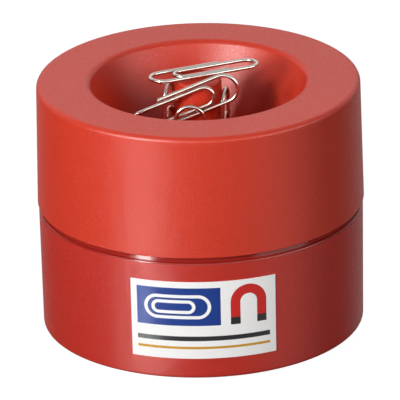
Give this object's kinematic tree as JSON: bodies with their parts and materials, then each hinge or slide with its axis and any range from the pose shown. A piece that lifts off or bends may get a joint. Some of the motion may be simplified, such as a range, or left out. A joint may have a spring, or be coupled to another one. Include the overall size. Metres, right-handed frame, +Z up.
{
  "type": "magnetic paper clip holder",
  "caption": "Round desk holder for paper clips: a low cup, a lift-off funnel ring and a central post with a magnet in its head, with wire clips clinging to the post.",
  "frame": {"origin": "on the desk, under the middle of the round body, in the plane of the feet", "axes": "+Z up along the post, -Y towards the label on the front, +X to the right seen from the front"},
  "size_m": [0.073, 0.073, 0.0611],
  "materials": {
    "red_shell": "fine spark-eroded texture, satin sheen",
    "inner_plastic": "plain moulded",
    "magnet": "ground and plated",
    "rubber": "matte",
    "label": "coated paper, satin",
    "clip_wire": "bright drawn wire"
  },
  "bodies": {
    "base": {"base_cup": "red_shell", "bottom_plate": "inner_plastic", "magnet_post": "red_shell", "bar_magnet": "magnet", "magnet_spacer": "inner_plastic", "front_label": "label", "rubber_foot_1": "rubber", "rubber_foot_2": "rubber", "rubber_foot_3": "rubber", "rubber_foot_4": "rubber"},
    "ring": {"top_ring": "red_shell"},
    "left_clip": {"left_clip": "clip_wire"},
    "top_clip": {"top_clip": "clip_wire"},
    "right_clip": {"right_clip": "clip_wire"},
    "leaning_clip": {"leaning_clip": "clip_wire"},
    "front_clip": {"front_clip": "clip_wire"}
  },
  "joints": [
    {"name": "ring_lift", "type": "slide", "parent": "base", "child": "ring", "axis": [0, 0, 1], "range_m": [0, 0.045]},
    {"name": "left_clip_lift", "type": "slide", "parent": "base", "child": "left_clip", "axis": [0, 0, 1], "range_m": [0, 0.03]},
    {"name": "top_clip_lift", "type": "slide", "parent": "left_clip", "child": "top_clip", "axis": [0, 0, 1], "range_m": [0, 0.02]},
    {"name": "right_clip_pull", "type": "slide", "parent": "base", "child": "right_clip", "axis": [1, 0, 0], "range_m": [0, 0.009]},
    {"name": "leaning_clip_lift", "type": "slide", "parent": "base", "child": "leaning_clip", "axis": [0, 0, 1], "range_m": [0, 0.03]},
    {"name": "front_clip_lift", "type": "slide", "parent": "base", "child": "front_clip", "axis": [0, 0, 1], "range_m": [0, 0.03]}
  ]
}
